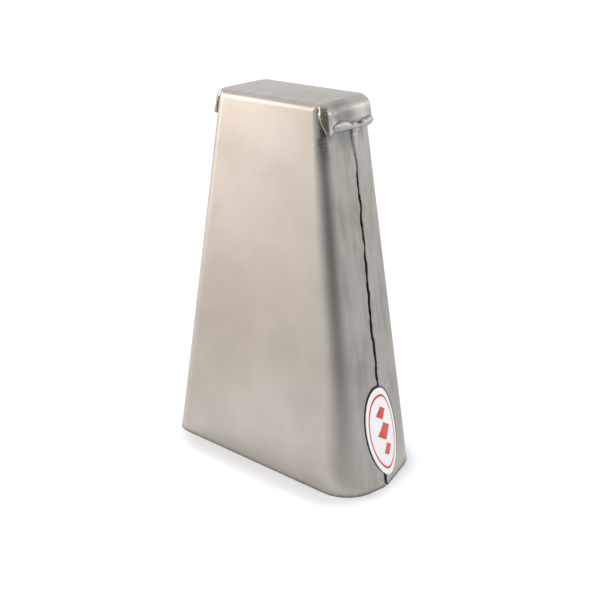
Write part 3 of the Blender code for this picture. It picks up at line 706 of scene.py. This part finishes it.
welds = {
    "pitch": 0.0014, "unevenness": 0.03, "voxel": 0.00024, "band": 0.002, "lumpLength": 0.0030, "lumpDetail": 3,
    "smoothing": {"factor": 0.5, "iterations": 5}, "rightSeed": 11, "leftSeed": 27, "seamSeed": 5,
    # runs under the ears, from the seam outwards
    "earSteps": 16, "earStart": 0.0014, "endTurn": math.radians(12), "rearShorter": 0.0012, "earLean": -0.25,
    "earSink": 0.0004, "rightProud": 0.0020, "leftProud": 0.0007,
    # share of the run, then half height, how far it stands out and how far it is lifted, in metres
    "rightFront": [
        (0.0, 0.0017, 0.0016, 0.0002), (0.18, 0.0023, 0.0022, 0.0004), (0.34, 0.0018, 0.0017, 0.0005),
        (0.48, 0.0028, 0.0027, 0.0008), (0.70, 0.0032, 0.0030, 0.0012), (0.85, 0.0030, 0.0024, 0.0013),
        (1.0, 0.0024, 0.0009, 0.0013)],
    "rightRear": [
        (0.0, 0.0016, 0.0015, 0.0), (0.25, 0.0024, 0.0023, 0.0002), (0.5, 0.0022, 0.0020, 0.0002),
        (0.75, 0.0027, 0.0020, 0.0004), (1.0, 0.0024, 0.0010, 0.0004)],
    "leftFront": [
        (0.0, 0.0016, 0.0015, 0.0), (0.3, 0.0023, 0.0022, 0.0003), (0.5, 0.0019, 0.0018, 0.0004),
        (0.75, 0.0028, 0.0026, 0.0006), (1.0, 0.0020, 0.0016, 0.0008)],
    "leftRear": [
        (0.0, 0.0016, 0.0015, 0.0), (0.4, 0.0024, 0.0022, 0.0002), (0.7, 0.0022, 0.0020, 0.0003),
        (1.0, 0.0018, 0.0014, 0.0004)],
    # runs down the seams: the tail thins out and crosses to the rear wing
    "seamSteps": 24, "seamStart": 0.0022, "seamLength": 0.034, "seamWidth": 0.0078, "seamTail": 0.0018,
    "tailCurve": 0.7, "seamRise": 0.0034, "riseCurve": 1.25, "seamSink": 0.30, "seamFront": 0.40,
    "tailFront": -0.10, "crossing": (0.22, 0.62), "seamLean": 0.16,
    # darkening on the flanks at the start and further on, and in the toe: partly oxide, partly painted shade
    "earDirtAndShade": (0.8, 0.25, 0.0), "seamDirtAndShade": (0.9, 0.1, 1.0), "darkeningFade": (0.06, 0.24), "flank": (0.05, 0.66),
    "upward": (-0.2, 0.6), "upperToe": 0.26, "slag": 0.8, "slagThin": (0.0017, 0.0024),
    "slagFacing": (0.0, 0.7), "low": (0.0002, 0.0012), "lowFacing": (0.0, 0.4), "under": 0.6,
    "underFacing": (0.45, 1.0),
}


def buildWeldTree():
    tree, add, given = newTree("meltedWeldRun", {"Geometry": "Geometry", "Pitch": "Float",
        "Unevenness": "Float", "Voxel": "Float", "Band": "Float", "Seed": "Int", "Metal": "Material"})
    path = add("GeometryNodeMeshToCurve", given["Geometry"])
    spaced = add("GeometryNodeResampleCurve", mode="LENGTH", Curve=path, Length=given["Pitch"])
    lump = add("GeometryNodeMeshIcoSphere", Radius=1.0, Subdivisions=welds["lumpDetail"])
    size = add("GeometryNodeInputNamedAttribute", data_type="FLOAT_VECTOR", Name="lumpSize")
    out = add("GeometryNodeInputNamedAttribute", data_type="FLOAT_VECTOR", Name="lumpOut")
    turn = add("FunctionNodeAxesToRotation", out, add("GeometryNodeInputTangent"), primary_axis="Z",
        secondary_axis="X")
    small = add("Math", 1.0, given["Unevenness"], operation="SUBTRACT")
    large = add("Math", 1.0, given["Unevenness"], operation="ADD")
    vary = add("FunctionNodeRandomValue", data_type="FLOAT", Min=small, Max=large, Seed=given["Seed"])
    sized = add("VectorMath", size, operation="SCALE", Scale=vary.outputs[1])
    lumps = add("GeometryNodeInstanceOnPoints", Points=spaced, Instance=lump, Rotation=turn, Scale=sized)
    real = add("GeometryNodeRealizeInstances", lumps)
    molten = add("GeometryNodeMeshToVolume", {"Interior Band Width": given["Band"],
        "Voxel Size": given["Voxel"]}, resolution_mode="VOXEL_SIZE", Mesh=real)
    cast = add("GeometryNodeVolumeToMesh", {"Voxel Size": given["Voxel"]}, resolution_mode="VOXEL_SIZE",
        Volume=molten)
    endTree(add, add("GeometryNodeSetShadeSmooth", cast), given["Metal"])
    return tree


def castWeld(tree, path, seed, startDirtAndShade, endDirtAndShade, toeDirt):
    # path: place, outward direction and half sizes of the lumps
    mesh = bpy.data.meshes.new("path")
    mesh.from_pydata([p[0] for p in path], [(i, i + 1) for i in range(len(path) - 1)], [])
    for name, part in (("lumpOut", 1), ("lumpSize", 2)):
        layer = mesh.attributes.new(name, "FLOAT_VECTOR", "POINT")
        layer.data.foreach_set("vector", [c for p in path for c in p[part]])
    made = plainMesh("weld", mesh, ("NODES", {"tree": tree, "Pitch": welds["pitch"],
        "Unevenness": welds["unevenness"], "Voxel": welds["voxel"], "Band": welds["band"], "Seed": seed,
        "Metal": weldSteel}), ("SMOOTH", welds["smoothing"]))
    toe = []
    for vert in made.vertices:
        stop = min(range(len(path)), key=lambda i: (path[i][0] - vert.co).length_squared)
        place, out, size = path[stop]
        facing = vert.normal
        # flank darkening: partly oxide, partly painted shade in the crease at the toe
        dirt = between(startDirtAndShade, endDirtAndShade, smoothStep(*welds["darkeningFade"], stop / (len(path) - 1)))
        dirt = between(dirt, welds["upperToe"], smoothStep(*welds["upward"], facing.z))    # melts into the ear
        dirt *= 1 - smoothStep(*welds["flank"], facing.dot(out))
        slag = 1 - smoothStep(*welds["slagThin"], size[1])    # stays where the run is thin
        slag *= smoothStep(*welds["slagFacing"], facing.z)
        low = 1 - smoothStep(*welds["low"], (vert.co - place).dot(out))
        low *= smoothStep(*welds["lowFacing"], facing.y)    # painted contact shadow on the side facing the rear
        # painted shade on the undersides
        under = smoothStep(*welds["underFacing"], -facing.z)
        toe.append(max(dirt, toeDirt * low, welds["under"] * under, welds["slag"] * slag))
    made.attributes.new("toe", "FLOAT", "POINT").data.foreach_set("value", toe)
    return made


def sizeAlong(stops, share):
    for (a, *low), (b, *high) in zip(stops, stops[1:]):
        if share <= b:
            return [between(x, y, (share - a) / (b - a)) for x, y in zip(low, high)]
    return stops[-1][1:]


def earWeldPath(side, face, stops):
    z = ears["edge"]
    middle = sizesAt(z)["seamY"] + welds["seamWidth"] * (0.5 - welds["seamFront"])
    start = face * middle + welds["earStart"]
    end = earHalfDepth(left, rear, z) - ears["corner"] * (1 - math.sin(welds["endTurn"]))
    if face == rear:
        end -= welds["rearShorter"]
    proud = welds["rightProud" if side == right else "leftProud"]
    path = []
    for i in range(welds["earSteps"] + 1):
        share = i / welds["earSteps"]
        v = between(start, end, share)
        turn = earTurn(side, face, v, z)
        edge = crownZ - earDrop(side, face, turn)
        height, stand, lift = sizeAlong(stops, share)
        out = Vector((side * math.cos(turn), face * math.sin(turn), welds["earLean"])).normalized()
        place = Vector((side * earX(side, face, v, edge), face * v, edge - welds["earSink"] + lift))
        path.append((place - out * max(0.0, stand - proud), out, (welds["lumpLength"], height, stand)))
    return path


def seamWeldPath(side):
    path = []
    for i in range(welds["seamSteps"] + 1):
        down = i / welds["seamSteps"]
        z = ears["edge"] - welds["seamStart"] - welds["seamLength"] * down
        width = between(welds["seamWidth"], welds["seamTail"], down ** welds["tailCurve"])
        ahead = between(welds["seamFront"], welds["tailFront"], smoothStep(*welds["crossing"], down))
        y = sizesAt(z)["seamY"] + width * (0.5 - ahead)
        out = Vector((side, welds["seamLean"], math.sin(sideTilt))).normalized()
        rise = welds["seamRise"] * (width / welds["seamWidth"]) ** welds["riseCurve"]
        place = Vector((side * wingX(side, y, z), y, z)) - out * welds["seamSink"] * rise
        path.append((place, out, (welds["lumpLength"], width / 2, rise)))
    return path


weldTree = buildWeldTree()
weldPaths = []
for sideName, side in (("right", right), ("left", left)):
    seed = welds[sideName + "Seed"]
    for faceName, face in (("front", front), ("rear", rear)):
        weldPaths.append(earWeldPath(side, face, welds[sideName + faceName.title()]))
        run = castWeld(weldTree, weldPaths[-1], seed + face, *welds["earDirtAndShade"])
        addPiece("earWeld" + sideName.title() + faceName.title(), run, "weld_steel",
            "ear_weld_" + sideName + "_" + faceName)
    weldPaths.append(seamWeldPath(side))
    run = castWeld(weldTree, weldPaths[-1], seed + welds["seamSeed"], *welds["seamDirtAndShade"])
    addPiece("seamWeld" + sideName.title(), run, "weld_steel", "seam_weld_" + sideName)

shellMesh = buildShell()
paintSheet(shellMesh, weldPaths)
addPiece("bellShell", shellMesh, "satin_steel", "shell")


# label: oval film laid over the seam near the mouth

label = {
    "length": 0.0588, "width": 0.0290, "film": 0.0003, "ink": 0.00003, "clearance": 0.0003, "height": 0.0343,
    "shift": 0.0023, "turn": math.radians(9.7), "border": 0.0007, "misprint": (-0.0003, -0.0003),
    "crease": 0.0010, "rings": 22, "segments": 96, "ring": (0.80, 0.86),
    "lozenges": 3, "lozengeSpacing": 0.0124, "lozengeSize": (0.0092, 0.0088), "lozengeTaper": 0.56,
    "lozengeGrid": 9,
}


def layOnSide(across, along, lift):
    # a point of the flat label, wrapped over the ridge of the seam
    c, s = math.cos(label["turn"]), math.sin(label["turn"])
    y, z = label["shift"] + across * c - along * s, label["height"] + across * s + along * c
    sizes = sizesAt(z)
    soft = math.sqrt(y * y + label["crease"] ** 2) - label["crease"]
    slope = wingSlope(right, front if y < 0 else rear, z)
    x = sizes["halfWidth"] - slope * soft + (label["clearance"] + lift) / math.cos(sideTilt)
    return Vector((x, sizes["seamY"] + y, z))


def buildLabel():
    # white film in ovals from its middle outwards, a red ring among them, and the dark printed edge
    bm = bmesh.new()
    count = label["segments"]
    shares = sorted([i / (label["rings"] - 2) for i in range(label["rings"] - 1)] + list(label["ring"]))
    halfWidth, halfLength = label["width"] / 2, label["length"] / 2
    ovals = [(*label["misprint"], (halfWidth - label["border"]) * share,
        (halfLength - label["border"]) * share) for share in shares[1:]] + [(0.0, 0.0, halfWidth, halfLength)]
    rings = [[bm.verts.new(layOnSide(*label["misprint"], label["film"]))] * count]
    for dx, dy, reachX, reachY in ovals:
        turns = [2 * math.pi * k / count for k in range(count)]
        rings.append([bm.verts.new(layOnSide(dx + reachX * math.cos(turn), dy + reachY * math.sin(turn),
            label["film"])) for turn in turns])
    for n, (a, b) in enumerate(zip(rings, rings[1:])):
        for k in range(count):
            j = (k + 1) % count
            face = bm.faces.new([a[0], b[k], b[j]] if n == 0 else [a[k], b[k], b[j], a[j]])
            inRing = n < len(shares) - 1 and label["ring"][0] <= shares[n] < label["ring"][1]
            face.material_index = 1 if n == len(rings) - 2 else 2 if inRing else 0    # black, red, white
            face.smooth = True
    flat = meshFromBm(bm, "film")
    for mat in (whiteVinyl, blackVinyl, redVinyl):
        flat.materials.append(mat)
    return plainMesh("label", flat, ("SOLIDIFY", {"thickness": label["film"], "offset": -1.0}))


def buildLozengeTree():
    # squares on their corners in a column, smaller away from its middle
    tree, add, given = newTree("lozengeColumn", {"Count": "Int", "Spacing": "Float", "Width": "Float",
        "Length": "Float", "Taper": "Float", "Ink": "Material"})
    step = add("CombineXYZ", Y=given["Spacing"])
    line = add("GeometryNodeMeshLine", Count=given["Count"], Offset=step)
    shape = add("GeometryNodeMeshGrid", {"Size X": 1.0, "Size Y": 1.0, "Vertices X": label["lozengeGrid"],
        "Vertices Y": label["lozengeGrid"]})
    turned = add("GeometryNodeTransform", Rotation=(0.0, 0.0, math.pi / 4), Geometry=shape)
    last = add("Math", given["Count"], 1.0, operation="SUBTRACT")
    half = add("Math", last, 2.0, operation="DIVIDE")
    fromMiddle = add("Math", add("GeometryNodeInputIndex"), half, operation="SUBTRACT")
    distance = add("Math", fromMiddle, operation="ABSOLUTE")
    loss = add("Math", distance, given["Taper"], operation="MULTIPLY")
    keep = add("Math", 1.0, loss, operation="SUBTRACT")
    full = add("CombineXYZ", X=given["Width"], Y=given["Length"], Z=1.0)
    sized = add("VectorMath", full, operation="SCALE", Scale=keep)
    column = add("GeometryNodeInstanceOnPoints", Points=line, Instance=turned, Scale=sized)
    endTree(add, column, given["Ink"])
    return tree


def buildLozenges():
    width, length = label["lozengeSize"]
    made = plainMesh("lozenges", bpy.data.meshes.new("lozenges"), ("NODES", {"tree": buildLozengeTree(),
        "Count": label["lozenges"], "Spacing": label["lozengeSpacing"], "Width": width, "Length": length,
        "Taper": label["lozengeTaper"] / 2, "Ink": redVinyl}))
    middle = label["lozengeSpacing"] * (label["lozenges"] - 1) / 2
    for vert in made.vertices:
        vert.co = layOnSide(vert.co.x, vert.co.y - middle, label["film"] + label["ink"])
    return plainMesh("lozenges", made, ("SOLIDIFY", {"thickness": 2 * label["ink"], "offset": -1.0}))


addPiece("sideLabel", buildLabel(), "white_vinyl", "side_label")
addPiece("labelLozenges", buildLozenges(), "white_vinyl")


# studio: pale floor, soft lamps and cards that only the metal sees

studio = {
    "floorSize": 3.2, "floorColour": "#e4e6e8", "contactFill": 0.10, "floorFill": 0.40, "fillReach": 0.0165,
    "endLight": 0.013, "shadowCentre": (0.007, -0.005, 0.0), "worldLight": 0.78,
    # place, aim height, size, radiance, colour
    "lamps": {
        "keyLeft": ((-0.940, -0.634, 0.48), 0.12, (0.70, 0.80), 3.6, "#ffeee2"),
        "sideRight": ((1.00, -0.10, 0.80), 0.06, (0.70, 0.70), 2.4, "#f0f4ff"),
        "rearRight": ((0.46, 1.00, 0.47), 0.20, (0.45, 0.45), 1.5, "#fbf7ff"),
    },
}
white = linear("#ffffff")


def bareTree(owner):
    owner.use_nodes = True
    owner.node_tree.nodes.clear()
    return partial(addNode, owner.node_tree)


def addStage(name, mesh, mat):
    mesh.materials.append(mat)
    obj = bpy.data.objects.new(name, mesh)
    scene.collection.objects.link(obj)
    return obj


def seenDirectly(add):
    # 1 for rays that show the background: straight, mirrored or through glass
    path = add("LightPath").outputs
    seen = add("Math", path["Is Camera Ray"], path["Is Glossy Ray"], operation="MAXIMUM")
    return add("Math", seen, path["Is Transmission Ray"], operation="MAXIMUM")


def buildFloor():
    half = studio["floorSize"] / 2
    mesh = bpy.data.meshes.new("studioFloor")
    corners = [(-half, -half, 0), (half, -half, 0), (half, half, 0), (-half, half, 0)]
    mesh.from_pydata(corners, [], [(0, 1, 2, 3)])
    mat = bpy.data.materials.new("paintedBoard")
    add = bareTree(mat)
    paint = add("BsdfDiffuse", Color=linear(studio["floorColour"]))
    # the floor glows less round the mouth, least beside its front and back: a painted contact shadow on top of
    # the one that renders
    corner = bell["mouthCorner"]
    core = (bell["mouthWidth"] / 2 - corner - studio["endLight"], bell["mouthDepth"] / 2 - corner, 0.0)
    coords = add("TexCoord").outputs["Object"]
    centred = add("VectorMath", coords, studio["shadowCentre"], operation="SUBTRACT")
    size = add("VectorMath", centred, operation="ABSOLUTE")
    past = add("VectorMath", size, core, operation="SUBTRACT")
    outside = add("VectorMath", past, (0.0, 0.0, 0.0), operation="MAXIMUM")
    away = add("VectorMath", outside, operation="LENGTH").outputs["Value"]
    level = add("MapRange", {"From Min": corner, "From Max": corner + studio["fillReach"],
        "To Min": studio["contactFill"], "To Max": studio["floorFill"]}, interpolation_type="SMOOTHSTEP",
        Value=away)
    fill = add("Math", level, seenDirectly(add), operation="MULTIPLY")
    glow = add("Emission", Color=white, Strength=fill)
    board = add("AddShader", paint, glow)
    add("OutputMaterial", Surface=board)
    addStage("studioFloor", mesh, mat)


def buildWorld():
    scene.world = bpy.data.worlds.new("studioWorld")
    add = bareTree(scene.world)
    strength = add("MapRange", {"To Min": studio["worldLight"], "To Max": 1.0}, Value=seenDirectly(add))
    sky = add("Background", Color=white, Strength=strength)
    add("OutputWorld", Surface=sky)


def buildLamps():
    for name, (place, aim, size, radiance, colour) in studio["lamps"].items():
        data = bpy.data.lights.new(name, "AREA")
        data.shape = "RECTANGLE"
        data.size, data.size_y = size
        data.energy = radiance * math.pi * size[0] * size[1]
        data.color = linear(colour)[:3]
        lamp = bpy.data.objects.new(name, data)
        lamp.location = place
        lamp.rotation_euler = (Vector((0, 0, aim)) - Vector(place)).to_track_quat("-Z", "Y").to_euler()
        scene.collection.objects.link(lamp)


# cards, in rows: distance from the bell, height, how much of the card is there in its band and past it,
# and the azimuths where the band starts, peaks and ends
cards = {
    "darkFelt": {"azimuths": (-30.0, 215.0), "fade": (190.0, 215.0), "colour": "#30322e", "steps": 60, "rows": [
        (0.086, 0.001, 0.44, 0.22, 5.0, 45.0, 85.0), (0.105, 0.001, 0.48, 0.24, 5.0, 45.0, 85.0),
        (0.135, 0.001, 0.48, 0.26, 5.0, 45.0, 85.0), (0.17, 0.001, 0.50, 0.30, 5.0, 45.0, 85.0),
        (0.30, 0.002, 0.66, 0.31, 5.0, 47.0, 90.0), (0.30, 0.05, 0.80, 0.30, -4.0, 48.0, 92.0),
        (0.30, 0.09, 0.84, 0.25, -12.0, 52.0, 96.0), (0.30, 0.122, 0.88, 0.20, -18.0, 57.0, 100.0),
        (0.30, 0.155, 0.90, 0.18, -24.0, 63.0, 110.0), (0.30, 0.19, 0.94, 0.13, -28.0, 70.0, 124.0),
        (0.30, 0.22, 0.94, 0.05, -28.0, 74.0, 124.0), (0.30, 0.27, 0.88, 0.0, -28.0, 70.0, 116.0),
        (0.30, 0.33, 0.50, 0.0, -28.0, 60.0, 92.0), (0.30, 0.38, 0.0, 0.0, -28.0, 60.0, 90.0)]},
    "tanBoard": {"azimuths": (-100.0, 20.0), "fade": (190.0, 215.0), "colour": "#b0824f", "steps": 30, "rows": [
        (reach, 0.0015, share, 0.0, -95.0, -42.0, 12.0)
        for reach, share in ((0.09, 0.0), (0.14, 0.16), (0.30, 0.24), (0.55, 0.20), (0.95, 0.0))]},
}


def buildCard(name, card):
    verts, faces, shades = [], [], []
    count = len(card["rows"])
    for i in range(card["steps"] + 1):
        azimuth = between(*card["azimuths"], i / card["steps"])
        turn = math.radians(azimuth)
        for k, (reach, z, inBand, pastBand, start, peak, end) in enumerate(card["rows"]):
            verts.append((reach * math.sin(turn), -reach * math.cos(turn), z))
            inside = inBand * hump(start, peak, peak, end, azimuth)
            shades.append(inside + pastBand * hump(peak, end, *card["fade"], azimuth))
            if i and k:
                now, last = i * count + k, (i - 1) * count + k
                faces.append((last - 1, now - 1, now, last))
    mesh = bpy.data.meshes.new(name)
    mesh.from_pydata(verts, [], faces)
    mesh.attributes.new("cardShare", "FLOAT", "POINT").data.foreach_set("value", shades)
    mat = bpy.data.materials.new(name)
    add = bareTree(mat)
    felt = add("BsdfDiffuse", Color=linear(card["colour"]))
    shade = add("Attribute", attribute_name="cardShare").outputs["Fac"]
    edge = add("MixShader", shade, add("BsdfTransparent"), felt)
    add("OutputMaterial", Surface=edge)
    obj = addStage(name, mesh, mat)
    obj.visible_camera = obj.visible_diffuse = obj.visible_shadow = obj.visible_transmission = False


camera = {"azimuth": 38.582, "elevation": 23.136, "focalPx": 940.146, "imagePx": 600, "clipStart": 0.01,
          "aim": (0.0, 0.0, 0.1125), "distance": 0.57231, "slide": 0.005175, "lift": -0.01335}


def buildCamera():
    az, el = math.radians(camera["azimuth"]), math.radians(camera["elevation"])
    back = Vector((math.sin(az) * math.cos(el), -math.cos(az) * math.cos(el), math.sin(el)))
    side = Vector((math.cos(az), math.sin(az), 0.0))
    data = bpy.data.cameras.new("photoCamera")
    data.sensor_fit = "HORIZONTAL"
    data.lens = camera["focalPx"] / camera["imagePx"] * data.sensor_width
    data.clip_start = camera["clipStart"]
    obj = bpy.data.objects.new("photoCamera", data)
    obj.location = Vector(camera["aim"]) + back * camera["distance"]
    obj.location += side * camera["slide"] + back.cross(side) * camera["lift"]
    obj.rotation_euler = back.to_track_quat("Z", "Y").to_euler()
    scene.collection.objects.link(obj)
    scene.camera = obj


scene.view_settings.view_transform = "Standard"
buildFloor()
buildWorld()
buildLamps()
for cardName, card in cards.items():
    buildCard(cardName, card)
buildCamera()
print("studio ready")
